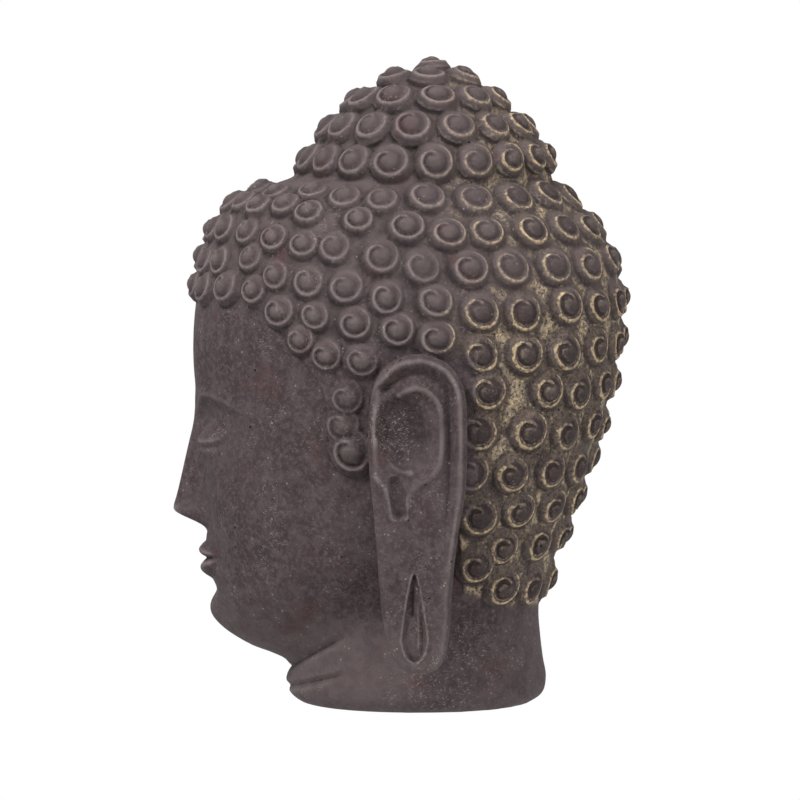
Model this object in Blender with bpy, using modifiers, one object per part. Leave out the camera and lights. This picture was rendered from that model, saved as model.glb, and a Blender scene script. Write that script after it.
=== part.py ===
"""A stone head on a short neck, cut off flat below.

The head, its snail-shell curls, the domed topknot, the long ears and the neck
are one solid. The face looks along -Y, +Z is up, and the origin is the middle
of the flat foot of the neck. Blender lengths are metres.

The carving is laid out the way a carver squares up a block: the height is
divided into equal parts, 400 from the foot to the top, and the sections, the
face, the ears and the hairline below are given in those parts.
"""

import math

import bmesh
import bpy
import numpy as np

# Driving sizes, in metres.
HEIGHT = 0.400
CURL_PITCH = 0.0283
FRONT_PITCH = 0.0228
TOPKNOT_PITCH = 0.0240
CURL_RISE = 0.24 * CURL_PITCH
HAIR_BED = 0.30 * CURL_RISE

# The carver's parts in the whole height, and one part in metres.
PARTS = 400
PART = HEIGHT / PARTS

# Fineness of the carving, and the triangles that the finished solid keeps.
RINGS = 260
SPOKES = 320
EAR_ROWS = 60
EAR_COLUMNS = 260
CUT_SIZE = 0.0018
SOLID_TRIANGLES = 9600

# Trial places on the scalp, and rounds of moving the curls to the middle of their share.
SAMPLES = 16000
EVENING_ROUNDS = 12

# Distance between rows of curls, as a share of their spacing along a row.
ROW_SHARE = 0.88

# Sections from under the foot to the crown, in parts. Each row is a tilted ring:
# front depth and height, half width and its height, back depth and its height.
SECTIONS = (
    (0.0, -4.0, 0.0, -4.0, 0.0, -4.0),
    (50.0, -4.0, 46.0, -4.0, 50.0, -4.0),
    (67.0, -2.5, 59.5, -2.5, 66.5, -2.5),
    (75.0, 0.8, 67.0, 0.8, 74.2, 0.8),
    (80.3, 5.8, 72.4, 5.8, 79.8, 5.8),
    (82.0, 11.0, 74.3, 13.0, 81.2, 15.0),
    (81.4, 15.0, 73.6, 26.0, 79.3, 26.0),
    (80.8, 20.5, 72.6, 43.0, 77.5, 41.0),
    (82.5, 25.0, 73.0, 57.0, 76.5, 55.0),
    (91.0, 29.0, 76.0, 68.0, 77.5, 68.0),
    (104.0, 34.0, 80.5, 78.0, 81.0, 80.0),
    (115.0, 41.5, 85.0, 88.0, 85.5, 93.0),
    (122.0, 51.5, 89.0, 99.0, 91.0, 108.0),
    (124.5, 64.0, 92.0, 111.0, 97.0, 124.0),
    (125.5, 80.0, 94.5, 125.0, 104.0, 142.0),
    (127.5, 99.0, 97.0, 140.0, 110.5, 163.0),
    (130.0, 121.0, 99.5, 157.0, 117.0, 187.0),
    (133.0, 145.0, 101.5, 175.0, 122.0, 212.0),
    (135.5, 169.0, 103.5, 194.0, 124.5, 234.0),
    (138.0, 193.0, 105.0, 214.0, 124.5, 254.0),
    (139.5, 217.0, 105.5, 235.0, 121.5, 271.0),
    (138.5, 241.0, 104.0, 255.0, 115.5, 285.5),
    (135.0, 263.0, 99.5, 274.0, 106.5, 298.0),
    (128.5, 285.0, 92.5, 291.0, 97.5, 308.5),
    (119.0, 304.0, 84.0, 305.0, 90.0, 316.5),
    (105.0, 315.5, 77.0, 313.5, 86.0, 321.5),
    (88.0, 322.5, 72.0, 319.5, 84.5, 325.0),
    (77.5, 326.5, 69.5, 323.5, 83.5, 328.5),
    (71.5, 332.0, 67.8, 328.5, 81.5, 334.5),
    (64.0, 342.5, 64.5, 340.0, 76.5, 344.5),
    (56.0, 354.0, 58.5, 353.0, 68.0, 355.0),
    (46.0, 365.0, 49.5, 365.0, 58.0, 366.0),
    (32.5, 376.5, 38.0, 377.0, 46.0, 377.5),
    (14.0, 387.0, 21.0, 387.5, 30.0, 388.0),
    (-9.0, 393.0, 0.0, 393.0, 9.0, 393.0),
)
SQUARENESS = 2.12

# How far a curl's lower side stands out beyond its middle, in parts, and how far that side is turned.
CURL_LEAN = 1.6
LEAN_TURN = 0.6

# The groove round the foot of the topknot, as rows of SECTIONS.
GROOVE_LOW = 26.2
GROOVE_HIGH = 27.2

# How far the curls in front of the groove are worn down, in parts.
WORN_DEPTH = 2.6

# The hairline seen from the side: places along Y, and the lowest hair there.
HAIRLINE_Y = (-142.0, -104.0, -88.0, -72.0, -54.0, -44.0, -36.0, 24.0, 30.0, 52.0, 84.0)
HAIRLINE_Z = (254.0, 253.0, 242.0, 226.0, 198.0, 165.0, 150.0, 150.0, 74.0, 65.0, 59.0)

# The ear's outline in side view, up the front edge and down the rear one.
EAR_OUTLINE = (
    (-20.5, 86.5),
    (-23.0, 120.0),
    (-26.0, 151.5),
    (-26.5, 181.0),
    (-22.5, 204.0),
    (-12.0, 216.5),
    (4.0, 220.5),
    (19.5, 215.5),
    (29.0, 203.5),
    (32.0, 185.0),
    (31.5, 142.0),
    (27.0, 114.0),
    (23.5, 82.5),
    (21.0, 48.0),
    (15.5, 33.5),
    (3.0, 29.0),
    (-9.0, 34.5),
    (-17.0, 55.0),
)
ANTIHELIX = (
    (-7.5, 196.0),
    (1.5, 200.5),
    (10.5, 197.0),
    (16.0, 188.0),
    (17.5, 173.5),
    (16.5, 157.5),
    (10.5, 147.5),
    (1.5, 142.0),
    (-2.5, 133.0),
    (-4.0, 124.0),
)
SCAPHA = (
    (-16.5, 200.0),
    (-7.5, 206.0),
    (4.5, 209.0),
    (16.5, 203.0),
    (21.5, 191.0),
    (21.5, 132.0),
    (18.5, 96.5),
)
TRAGUS = ((-21.0, 168.5), (-16.0, 159.5), (-9.0, 153.0), (-2.0, 151.0))
NOTCH = ((-10.5, 143.5), (-9.5, 136.0), (-8.0, 126.5))
NOTCH_FRONT = ((-24.5, 148.5), (-18.0, 143.0), (-14.5, 135.0), (-12.5, 124.0))
EAR_OUT_PARTS = 112.5
EAR_ROUND_PARTS = 5.0

# The ear's root: how much narrower than the ear, where its lower side starts to rise, and its inner end.
ROOT_SHARE = 0.80
ROOT_LOW = 120.0
ROOT_IN = 58.0
EAR_MIDDLE_Y = 3.0


def smoothstep(low, high, value):
    """0 below low, 1 above high, and a smooth ramp between them."""
    t = np.clip((value - low) / (high - low), 0.0, 1.0)
    return t * t * (3.0 - 2.0 * t)


def bell(value, width):
    """A smooth hump: 1 at zero, a third at one width, almost 0 at two."""
    return np.exp(-((value / width) ** 2))


def spline(points, at):
    """Catmull-Rom curve through the points, read at fractional indices."""
    points = np.asarray(points, float)
    last = len(points) - 1
    at = np.clip(np.asarray(at, float), 0.0, last)
    low = np.minimum(np.floor(at).astype(int), last - 1)
    t = (at - low)[..., None]
    before = points[np.maximum(low - 1, 0)]
    here = points[low]
    there = points[low + 1]
    after = points[np.minimum(low + 2, last)]
    lead = (there - before) / 2.0
    follow = (after - here) / 2.0
    return (
        here * (2 * t**3 - 3 * t**2 + 1)
        + lead * (t**3 - 2 * t**2 + t)
        + there * (3 * t**2 - 2 * t**3)
        + follow * (t**3 - t**2)
    )


def path_distance(y, z, route):
    """Distance of each place from a smooth line through the route."""
    line = spline(route, np.linspace(0.0, len(route) - 1.0, 6 * len(route)))
    start = line[:-1]
    run = line[1:] - start
    place = np.stack([y, z], axis=-1)[..., None, :] - start
    share = np.clip((place * run).sum(-1) / (run**2).sum(-1), 0.0, 1.0)
    return np.sqrt(((place - share[..., None] * run) ** 2).sum(-1).min(-1))


def bare_form(at, angle):
    """The form without hair, ears or features. Angle 0 is the front, +90 degrees is +X."""
    row = spline(SECTIONS, at)
    front, front_z, side, side_z, back, back_z = np.moveaxis(row, -1, 0)
    cosine = np.cos(angle)
    sine = np.sin(angle)
    power = 2.0 / SQUARENESS
    x = side * np.sign(sine) * np.abs(sine) ** power
    reach = np.sign(cosine) * np.abs(cosine) ** power
    y = (back - front) / 2.0 - (back + front) / 2.0 * reach
    z = np.where(cosine > 0, front_z, back_z) * cosine**2 + side_z * sine**2
    return np.stack([x, y, z], axis=-1)


def face_relief(x, z):
    """How far the features stand forward of the bare form, in parts."""
    a = np.abs(x)
    brow_z = np.where(a < 44, 192.5 - 0.0095 * (a - 44) ** 2, 192.5 - 0.011 * (a - 44) ** 2)
    brow = 2.2 * bell(z - brow_z, 3.2) * smoothstep(4, 14, a) * (1 - smoothstep(66, 86, a))
    socket = -9.0 * bell(a - 34, 22) * bell(z - 175, 12.5)
    eye_far = np.sqrt(((a - 37) / 21) ** 2 + ((z - 167) / 14.0) ** 2)
    eyeball = 8.6 * np.exp(-((eye_far / 0.86) ** 2.6))
    lid_z = 160.5 + 0.010 * (a - 38) ** 2
    in_eye = 1 - smoothstep(13, 22, np.abs(a - 38))
    lid = 1.0 * bell(z - lid_z - 2.8, 2.4) * in_eye - 2.2 * bell(z - lid_z, 1.8) * in_eye
    crease_z = 178.0 - 0.014 * (a - 37) ** 2
    crease = -1.5 * bell(z - crease_z, 2.0) * (1 - smoothstep(14, 25, np.abs(a - 37)))
    down = np.clip((184 - z) / 66, 0, 1)
    ridge = (2.5 + 20.5 * down**1.2) * smoothstep(106, 122, z) * (1 - smoothstep(180, 200, z))
    nose = ridge * np.exp(-((a / (8.5 + 5.0 * down**1.5)) ** 2.6))
    wing = 9.0 * np.exp(-((((a - 13.5) / 7.2) ** 2 + ((z - 118.5) / 8.0) ** 2) ** 1.4))
    nostril = -4.0 * bell(a - 7, 3.2) * bell(z - 110.0, 3.0)
    muzzle = 5.5 * bell(a, 33) * bell(z - 90, 21)
    philtrum = -1.7 * bell(a, 2.8) * smoothstep(97, 100, z) * (1 - smoothstep(105, 110, z))
    mouth_z = 88.5 + 0.0030 * a**2 - 0.9 * bell(a, 6)
    upper_z = 99.5 - 1.8 * bell(a, 4.5) - 0.0075 * a**2
    lower_z = 75.0 + 0.0140 * a**2
    spread = 1 - smoothstep(18, 34, a)
    above = np.clip((z - mouth_z) / np.maximum(upper_z - mouth_z, 1.0), 0, 1)
    below = np.clip((mouth_z - z) / np.maximum(mouth_z - lower_z, 1.0), 0, 1)
    upper_lip = 4.4 * np.sin(math.pi * above) * spread
    lower_lip = 5.2 * np.sin(math.pi * below) * spread
    parting = -1.4 * bell(z - mouth_z, 1.8) * (1 - smoothstep(25, 34, a))
    corner = -2.2 * bell(a - 33, 5.5) * bell(z - 91, 5.5)
    fold = -3.4 * bell(a, 21) * bell(z - 69.5, 6.0)
    chin = 6.0 * bell(a, 19) * bell(z - 54, 13)
    cheek = 4.0 * bell(a - 54, 26) * bell(z - 128, 28)
    features = brow + socket + eyeball + lid + crease + nose + wing + nostril
    mouth = muzzle + philtrum + upper_lip + lower_lip + parting + corner + fold + chin
    return features + mouth + cheek


def neck_lines(y, z, angle):
    """The two folds of the throat, as depths cut into the neck."""
    side = np.abs(np.sin(angle / 2.0))
    upper = 19.5 + 79.0 * side**1.6
    lower = 8.5 + 44.0 * side**1.6
    reach = 1 - smoothstep(0.42, 0.56, side)
    return -(2.8 * bell(z - upper, 2.4) + 2.4 * bell(z - lower, 2.2)) * reach


def head_points(at, angle):
    """The form with its face, throat folds and the bed of the hair, before curls and ears."""
    points = bare_form(at, angle)
    x, y, z = np.moveaxis(points, -1, 0)
    facing = 1 - smoothstep(0.72, 0.95, np.abs(x) / 105)
    forward = np.where(np.cos(angle) > 0, facing, 0.0)
    points[..., 1] -= face_relief(x, z) * forward * smoothstep(30, 44, z) * (1 - smoothstep(225, 250, z))
    outward = neck_lines(y, z, angle) * (1 - smoothstep(44, 60, z)) + hair_bed(y, z)
    points[..., 0] += outward * np.sin(angle)
    points[..., 1] -= outward * np.cos(angle)
    return points


def hair_bed(y, z):
    """How far the hair's own surface stands out under the curls, in parts."""
    over = z - np.interp(y, HAIRLINE_Y, HAIRLINE_Z)
    return HAIR_BED / PART * smoothstep(-1.0, 4.0, over) * (1 - smoothstep(300, 320, z))


def form_normal(at, angle):
    """Outward unit normal of the bare form."""
    step = 1e-3
    along = bare_form(at + step, angle) - bare_form(at - step, angle)
    around = bare_form(at, angle + step) - bare_form(at, angle - step)
    normal = np.cross(around, along)
    return normal / np.linalg.norm(normal, axis=-1, keepdims=True)


def ear_signed(y, z):
    """Distance inside the ear's outline, negative outside it."""
    closed = EAR_OUTLINE + EAR_OUTLINE[:1]
    line = spline(closed, np.linspace(0.0, len(closed) - 1.0, 6 * len(closed)))
    away = path_distance(y, z, closed)
    inside = np.zeros(np.shape(y), bool)
    for (y0, z0), (y1, z1) in zip(line[:-1], line[1:]):
        crosses = (z0 > z) != (z1 > z)
        rise = z1 - z0 if z1 != z0 else 1.0
        inside ^= crosses & (y < (y1 - y0) * (z - z0) / rise + y0)
    return np.where(inside, away, -away)


def hair_weight(at, places):
    """How densely curls sit at a place of the skull: 0 off the hair."""
    x, y, z = np.moveaxis(places, -1, 0)
    hair = (z > np.interp(y, HAIRLINE_Y, HAIRLINE_Z)) & (at > 8) & (at < GROOVE_LOW - 0.4)
    ear = ear_signed(y, z)
    clear = np.where((y > 8) & (z < 200), ear < 9, ear < -3)
    pitch = local_pitch(y)
    return np.where(hair & clear, (CURL_PITCH / PART / pitch) ** 4, 0.0)


def local_pitch(y):
    """Spacing of the curls, in parts: closer towards the forehead."""
    ahead = 1 - smoothstep(-110, 60, y)
    return (CURL_PITCH + (FRONT_PITCH - CURL_PITCH) * ahead) / PART


def nearest(places, others):
    """For each place, which of the others is nearest."""
    squares = (others**2).sum(1) - 2 * places @ others.T
    return squares.argmin(1)


def scalp_rings():
    """Starting rows and angles of the skull's curls: rings below the groove, each half a step on."""
    rows = np.linspace(GROOVE_LOW, 8.0, 300)
    round_it = np.linspace(0, 2 * math.pi, 361)
    at, angle = np.meshgrid(rows, round_it, indexing="ij")
    places = bare_form(at, angle)
    down = np.linalg.norm(np.diff(places, axis=0), axis=-1) / (ROW_SHARE * local_pitch(places[:-1, :, 1]))
    down = np.concatenate([np.zeros((1, len(round_it))), np.cumsum(down, axis=0)])
    found = []
    ring = 0
    while (down[-1] > ring + 0.5).any():
        row = np.array([np.interp(ring + 0.5, down[:, k], rows) for k in range(len(round_it))])
        line = bare_form(row, round_it)
        pitch = local_pitch((line[:-1, 1] + line[1:, 1]) / 2.0)
        along = np.linalg.norm(np.diff(line, axis=0), axis=1) / pitch
        along = np.concatenate([[0.0], np.cumsum(along)])
        count = int(round(along[-1]))
        steps = (np.arange(count) + 0.5 * (ring % 2)) * along[-1] / count
        turned = np.interp(steps, along, round_it)
        found.append(np.stack([np.interp(turned, round_it, row), turned], axis=1))
        ring += 1
    return np.concatenate(found).T


def scalp_curls():
    """Rows and angles of the skull's curls, evened out over the hair."""
    random = np.random.default_rng(7)
    rows = np.linspace(8, GROOVE_LOW, 260)
    round_it = np.linspace(0, 2 * math.pi, 480, endpoint=False)
    at, angle = [grid.ravel() for grid in np.meshgrid(rows, round_it)]
    step = 1e-3
    along = (bare_form(at + step, angle) - bare_form(at - step, angle)) / (2 * step)
    around = (bare_form(at, angle + step) - bare_form(at, angle - step)) / (2 * step)
    places = bare_form(at, angle)
    weight = hair_weight(at, places)
    area = np.linalg.norm(np.cross(around, along), axis=-1) * (weight > 0)
    picked = random.choice(len(at), SAMPLES, p=area / area.sum())
    at = at[picked]
    angle = angle[picked]
    weight = weight[picked]
    places = places[picked].astype(np.float32)
    ring_at, ring_angle = scalp_rings()
    rings = bare_form(ring_at, ring_angle)
    rings = rings[hair_weight(ring_at, rings) > 0].astype(np.float32)
    seeds = nearest(rings, places)
    count = len(seeds)
    for _ in range(EVENING_ROUNDS):
        owner = nearest(places, places[seeds])
        total = np.maximum(np.bincount(owner, weight, count), 1e-9)
        sums = [np.bincount(owner, weight * places[:, k], count) for k in range(3)]
        centre = (np.stack(sums) / total).T.astype(np.float32)
        seeds = nearest(centre, places)
    return at[seeds], angle[seeds]


def topknot_curls():
    """Rows and angles of the curls that ring the topknot, with one on its top."""
    rows = np.linspace(len(SECTIONS) - 1.0, GROOVE_HIGH, 400)
    edge = bare_form(rows, np.full(rows.shape, math.pi / 2))
    length = np.concatenate([[0.0], np.cumsum(np.linalg.norm(np.diff(edge, axis=0), axis=1))])
    pitch = TOPKNOT_PITCH / PART
    rings = int(length[-1] / pitch)
    at = [len(SECTIONS) - 1.0]
    angle = [0.0]
    for ring in range(1, rings + 1):
        row = np.interp(ring * length[-1] / (rings + 0.45), length, rows)
        round_it = bare_form(np.full(200, row), np.linspace(0, 2 * math.pi, 200))
        perimeter = np.linalg.norm(np.diff(round_it, axis=0), axis=1).sum()
        count = int(round(perimeter / pitch))
        for step in range(count):
            at.append(row)
            angle.append(2 * math.pi * (step + 0.5 * (ring % 2)) / count)
    return np.array(at), np.array(angle)


def curl_places():
    """Every curl as centre, outward normal and radius, in parts."""
    scalp_at, scalp_angle = scalp_curls()
    knot_at, knot_angle = topknot_curls()
    at = np.concatenate([scalp_at, knot_at])
    angle = np.concatenate([scalp_angle, knot_angle])
    centre = bare_form(at, angle)
    normal = form_normal(np.minimum(at, len(SECTIONS) - 1.01), angle)
    normal[at == len(SECTIONS) - 1.0] = (0.0, 0.0, 1.0)
    apart = np.linalg.norm(centre[:, None] - centre[None], axis=-1)
    np.fill_diagonal(apart, np.inf)
    near = np.sort(apart, axis=1)[:, :3].mean(axis=1)
    radius = np.clip(0.53 * near, 0.46 * FRONT_PITCH / PART, 0.55 * CURL_PITCH / PART)
    worn = smoothstep(24.0, 25.6, at) * (at < GROOVE_LOW) * (1 - smoothstep(-50, 40, centre[:, 1]))
    centre = centre - WORN_DEPTH * worn[:, None] * normal
    return centre, normal, radius


def head_grid():
    """The head and neck without hair or ears."""
    rows = np.linspace(0, len(SECTIONS) - 1.0, RINGS)
    round_it = np.linspace(0, 2 * math.pi, SPOKES, endpoint=False)
    at, angle = np.meshgrid(rows, round_it, indexing="ij")
    return head_points(at, angle)


def curl_grid(centre, normal, radius):
    """One curl: a button that leans out below, sunk a little into the head."""
    out = np.linspace(0, 1, 8)[:, None]
    round_it = np.linspace(0, 2 * math.pi, 20, endpoint=False)[None, :]
    up = np.array([0.0, 0.0, 1.0]) if abs(normal[2]) < 0.97 else np.array([0.0, -1.0, 0.0])
    across = np.cross(up, normal)
    across /= np.linalg.norm(across)
    up = np.cross(normal, across)
    rise = CURL_RISE / PART * (1 - out**2.8) ** 0.62 - CURL_LEAN * out**2 * np.sin(round_it + LEAN_TURN)
    floor = np.full((1, round_it.size), -4.0)
    depth = np.concatenate([rise, floor, floor - 1.0])
    spread = np.concatenate([radius * out, [[radius], [0.0]]])
    points = (
        centre
        + (spread * np.cos(round_it))[..., None] * across
        + (spread * np.sin(round_it))[..., None] * up
        + depth[..., None] * normal
    )
    return points[::-1]


def ear_relief(y, z):
    """Height of the ear's carving over its plate, in parts."""
    inside = np.maximum(ear_signed(y, z), 0.0)
    upper = smoothstep(134, 162, z)
    helix = 1.8 * bell(inside - 3.8, 3.4) * upper
    rear = 1.8 * smoothstep(6, 20, y) * (1 - smoothstep(6.5, 11.0, inside)) * (1 - 0.7 * upper)
    scapha = -3.2 * bell(path_distance(y, z, SCAPHA), 3.2) * smoothstep(86, 126, z)
    recess = -3.4 * bell(y + 17.0, 9.0) * bell(z - 197.5, 10.0)
    band_height = 1.2 + 0.8 * smoothstep(136, 162, z)
    band = band_height * (1 - smoothstep(0.6, 3.8, path_distance(y, z, ANTIHELIX)))
    bowl = np.sqrt(((y + 6.0) / 18.0) ** 2 + ((z - 173.5) / 26.5) ** 2)
    concha = -8.0 * (1 - smoothstep(0.45, 1.05, bowl))
    notch = -3.0 * (1 - smoothstep(1.8, 5.6, path_distance(y, z, NOTCH)))
    tragus = 2.6 * bell(path_distance(y, z, TRAGUS), 3.0)
    front = 1.2 * bell(path_distance(y, z, NOTCH_FRONT), 2.4)
    return helix + rear + scapha + recess + band + concha + notch + tragus + front + lobe_slit(y, z)


def lobe_slit(y, z):
    """The long drop in the lobe: a thin raised outline, a shallow hollow and a slit."""
    above = np.clip((90.5 - z) / 39.5, 0, 1) ** 0.60
    below = np.sqrt(np.clip(1 - ((51.0 - z) / 14.5) ** 2, 0, 1))
    width = 8.0 * np.where(z > 51.0, above, below)
    off = np.abs(y - 0.9)
    near = smoothstep(35, 38, z) * (1 - smoothstep(88.5, 91.5, z))
    outline = 1.1 * bell(off - width, 0.9) * near
    hollow = -2.2 * (1 - smoothstep(0.6, 1.0, off / np.maximum(width, 0.5))) * near
    slit = -3.2 * bell(y + 0.3, 1.0) * smoothstep(61, 66, z) * (1 - smoothstep(78, 83, z))
    fold = 1.4 * bell(y - 3.3, 1.0) * smoothstep(41, 47, z) * (1 - smoothstep(76, 82, z))
    return outline + hollow + slit + fold


def ear_grid():
    """The left ear: a rounded, carved plate on a root that narrows into the head."""
    closed = EAR_OUTLINE + EAR_OUTLINE[:1]
    line = spline(closed, np.linspace(0.0, len(closed) - 1.0, EAR_COLUMNS + 1))[:-1]
    core = np.stack([np.full(len(line), EAR_MIDDLE_Y), np.clip(line[:, 1], 48.0, 192.0)], axis=-1)
    share = np.sin(np.linspace(0, math.pi / 2, EAR_ROWS))[:, None, None]
    flat = core + (line - core) * share
    y, z = np.moveaxis(flat, -1, 0)
    inside = np.clip(ear_signed(y, z), 0.0, None)
    inside[-1] = 0.0
    droop = np.clip((192.0 - z) / 165.0, 0.0, 1.0)
    plate = EAR_OUT_PARTS - 8.0 * droop**1.5 + 0.10 * y
    edge = EAR_ROUND_PARTS * np.sqrt(1 - (1 - np.clip(inside / EAR_ROUND_PARTS, 0, 1)) ** 2)
    top = plate + edge + ear_relief(y, z) * smoothstep(0.0, 3.0, inside)
    front = np.stack([top, y, z], axis=-1)
    lip = np.stack([plate[-1] - 5.0, y[-1], z[-1]], axis=-1)
    root = core + (line - core) * ROOT_SHARE
    low = root[:, 1] < ROOT_LOW
    inner_y = EAR_MIDDLE_Y + (root[:, 0] - EAR_MIDDLE_Y) * np.where(low, 0.7, 1.0)
    inner_z = np.where(low, ROOT_LOW - (ROOT_LOW - root[:, 1]) * 0.30, root[:, 1])
    inner = np.stack([np.full(len(line), ROOT_IN), inner_y, inner_z], axis=-1)
    outer = np.stack([plate[-1] - 8.0, root[:, 0], root[:, 1]], axis=-1)
    sides = [outer + (inner - outer) * (depth, depth, depth**0.6) for depth in np.linspace(0.0, 1.0, 9)]
    end = np.stack([np.full(len(line), ROOT_IN), core[:, 0], np.maximum(core[:, 1], 90.0)], axis=-1)
    return np.concatenate([front, np.stack([lip, *sides, end])])


def mirrored(grid):
    """The same grid on the other side of the head, still facing out."""
    return (grid * (-1.0, 1.0, 1.0))[:, ::-1]


def joined(grids, name):
    """One object of all the grids, each a closed skin whose rows wrap round."""
    quads = []
    start = 0
    for grid in grids:
        rows, columns = grid.shape[:2]
        index = start + np.arange(rows * columns).reshape(rows, columns)
        beside = np.roll(index, -1, axis=1)
        quads.append(np.stack([index[:-1], beside[:-1], beside[1:], index[1:]], axis=-1).reshape(-1, 4))
        start += rows * columns
    points = np.concatenate([grid.reshape(-1, 3) for grid in grids]) * PART
    mesh = bpy.data.meshes.new(name)
    mesh.from_pydata(points.tolist(), [], np.concatenate(quads).tolist())
    return bpy.data.objects.new(name, mesh)


def fused(obj):
    """Turns the overlapping shapes into one closed skin of small squares."""
    remesh = obj.modifiers.new("Fuse", "REMESH")
    remesh.mode = "VOXEL"
    remesh.voxel_size = CUT_SIZE
    bpy.context.view_layer.update()
    graph = bpy.context.evaluated_depsgraph_get()
    skin = bpy.data.meshes.new_from_object(obj.evaluated_get(graph))
    obj.modifiers.clear()
    obj.data = skin


def thinned(obj, triangles):
    """Leaves about this many triangles, fewest where the skin is flattest."""
    thin = obj.modifiers.new("Thin", "DECIMATE")
    thin.ratio = triangles / (2.0 * len(obj.data.polygons))
    thin.use_collapse_triangulate = True
    graph = bpy.context.evaluated_depsgraph_get()
    obj.data = bpy.data.meshes.new_from_object(obj.evaluated_get(graph))
    obj.modifiers.clear()


def cut_foot(mesh):
    """Saws the foot off flat at Z = 0 and closes it with one face."""
    whole = bmesh.new()
    whole.from_mesh(mesh)
    for vert in whole.verts:
        if abs(vert.co.z) < 0.6 * PART:
            vert.co.z = 0.0
    everything = whole.verts[:] + whole.edges[:] + whole.faces[:]
    bmesh.ops.bisect_plane(
        whole, geom=everything, dist=1e-6, plane_co=(0, 0, 0), plane_no=(0, 0, 1), clear_inner=True
    )
    rim = [edge for edge in whole.edges if edge.is_boundary]
    bmesh.ops.edgeloop_fill(whole, edges=rim)
    bmesh.ops.recalc_face_normals(whole, faces=whole.faces)
    whole.to_mesh(mesh)
    whole.free()


def stone_material():
    """Dull brown-grey stone."""
    material = bpy.data.materials.new("stone")
    material.use_nodes = True
    shader = material.node_tree.nodes["Principled BSDF"]
    shader.inputs["Base Color"].default_value = (0.107, 0.084, 0.088, 1.0)
    shader.inputs["Roughness"].default_value = 0.85
    shader.inputs["Metallic"].default_value = 0.0
    return material


def main():
    for obj in list(bpy.data.objects):
        bpy.data.objects.remove(obj, do_unlink=True)
    collection = bpy.data.collections.new("stone_head")
    bpy.context.scene.collection.children.link(collection)
    ear = ear_grid()
    curls = [curl_grid(*place) for place in zip(*curl_places())]
    head = joined([head_grid(), ear, mirrored(ear), *curls], "buddha_head")
    collection.objects.link(head)
    fused(head)
    thinned(head, SOLID_TRIANGLES)
    cut_foot(head.data)
    head.data.materials.append(stone_material())
    head.data.shade_smooth()


main()
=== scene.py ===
"""Looks of the stone head: fine carving, weathered stone and a plain studio.

The head is made again here from the same sections as its solid, with the
spiral carved into every curl, and it takes the solid's place.
"""

import math

import bmesh
import bpy
import numpy as np
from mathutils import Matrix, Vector
from mathutils.kdtree import KDTree


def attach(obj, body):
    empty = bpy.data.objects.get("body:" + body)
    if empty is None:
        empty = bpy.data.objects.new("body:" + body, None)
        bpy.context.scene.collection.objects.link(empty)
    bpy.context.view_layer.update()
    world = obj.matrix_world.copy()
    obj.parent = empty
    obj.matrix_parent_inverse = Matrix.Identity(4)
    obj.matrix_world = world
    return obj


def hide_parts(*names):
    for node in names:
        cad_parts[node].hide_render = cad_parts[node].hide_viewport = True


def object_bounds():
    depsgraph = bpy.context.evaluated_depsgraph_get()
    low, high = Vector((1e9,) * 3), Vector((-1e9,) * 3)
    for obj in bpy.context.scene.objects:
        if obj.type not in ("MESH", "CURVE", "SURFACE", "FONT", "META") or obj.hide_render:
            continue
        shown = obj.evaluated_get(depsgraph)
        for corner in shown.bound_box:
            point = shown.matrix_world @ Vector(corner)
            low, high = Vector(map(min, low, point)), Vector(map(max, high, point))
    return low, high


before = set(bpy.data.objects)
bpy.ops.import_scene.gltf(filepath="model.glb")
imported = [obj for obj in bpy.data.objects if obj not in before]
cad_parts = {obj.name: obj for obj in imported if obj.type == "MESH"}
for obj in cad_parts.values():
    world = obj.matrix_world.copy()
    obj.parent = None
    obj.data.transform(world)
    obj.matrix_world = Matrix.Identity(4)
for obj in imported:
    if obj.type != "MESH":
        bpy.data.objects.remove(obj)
CAD_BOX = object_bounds()

# The carver's parts: the solid's height, to the centimetre, divided as in its source.
PARTS = 400
PART = round(CAD_BOX[1].z - CAD_BOX[0].z, 2) / PARTS

# Curls, in metres, as in the solid.
CURL_PITCH = 0.0283
FRONT_PITCH = 0.0228
TOPKNOT_PITCH = 0.0240
CURL_RISE = 0.24 * CURL_PITCH
HAIR_BED = 0.30 * CURL_RISE
ROW_SHARE = 0.88
SAMPLES = 16000
EVENING_ROUNDS = 12
SEED = 11

# The spiral in each curl: where it starts, and its width as a share of the radius.
SPIRAL_START = math.radians(72)
SPIRAL_WIDTH = 0.095

RINGS = 640
SPOKES = 800
CURL_ROWS = 24
CURL_SPOKES = 56
EAR_ROWS = 120
EAR_COLUMNS = 560
CUT_SIZE = 0.0009
FINE_TRIANGLES = 196000

# Stone colours, linear.
STONE_DARK = (0.027, 0.0175, 0.0190, 1.0)
STONE_LIGHT = (0.052, 0.037, 0.039, 1.0)
STONE_GREY = (0.080, 0.060, 0.061, 1.0)
STONE_HAIR = (0.086, 0.0650, 0.0660, 1.0)
STONE_RUSSET = (0.060, 0.028, 0.029, 1.0)
STONE_BARE = (0.018, 0.0105, 0.0125, 1.0)
# Dark for grime in the pits and cracks of the dust, and for painted shade in hollows, recesses, the
# ear's bowl and the curls' shadowed flanks.
STONE_GRIME_AND_SHADE = (0.012, 0.008, 0.008, 1.0)
STONE_WORN = (0.210, 0.175, 0.168, 1.0)
STONE_SPECK = (0.320, 0.285, 0.265, 1.0)
STONE_HOLE = (0.008, 0.006, 0.006, 1.0)
DUST = (0.480, 0.358, 0.218, 1.0)
DUST_GREY = (0.265, 0.218, 0.166, 1.0)

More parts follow.
